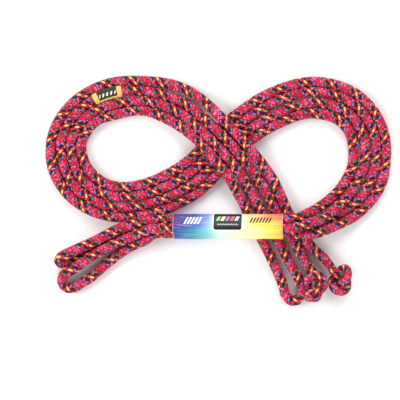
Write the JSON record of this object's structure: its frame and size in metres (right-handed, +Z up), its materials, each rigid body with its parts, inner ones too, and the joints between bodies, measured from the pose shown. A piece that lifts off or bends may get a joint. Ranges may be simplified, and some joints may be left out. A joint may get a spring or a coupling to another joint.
{
  "type": "jump rope",
  "caption": "Long braided jump rope knotted at both ends, folded in four and laid as a pretzel inside a printed paper sleeve, with a woven label round one strand.",
  "frame": {"origin": "on the surface that the rope lies on, under the middle of the whole object", "axes": "+X along the paper sleeve, from the folds to the knots, +Y towards the tops of the two loops, +Z up"},
  "size_m": [0.348, 0.2314, 0.0379],
  "materials": {
    "braided_rope": "shiny braided yarn, crimson with green, yellow and violet flecks",
    "melted_end": "dark melted yarn",
    "woven_tape": "black woven tape with a gold border",
    "stitching_thread": "gold thread",
    "printed_paper": "coated paper printed with a blue to orange rainbow",
    "dried_glue": "dried glue"
  },
  "bodies": {
    "rope": {"rope": "braided_rope", "right_knot": "braided_rope", "middle_knot": "braided_rope", "right_tip": "melted_end", "middle_tip": "melted_end", "woven_label": "woven_tape", "label_stitches": "stitching_thread"},
    "sleeve": {"paper_sleeve": "printed_paper", "sleeve_glue": "dried_glue"}
  },
  "joints": [
    {"name": "sleeve_slide", "type": "slide", "parent": "rope", "child": "sleeve", "axis": [-0.9965, 0, -0.083], "range_m": [0, 0.01]}
  ]
}
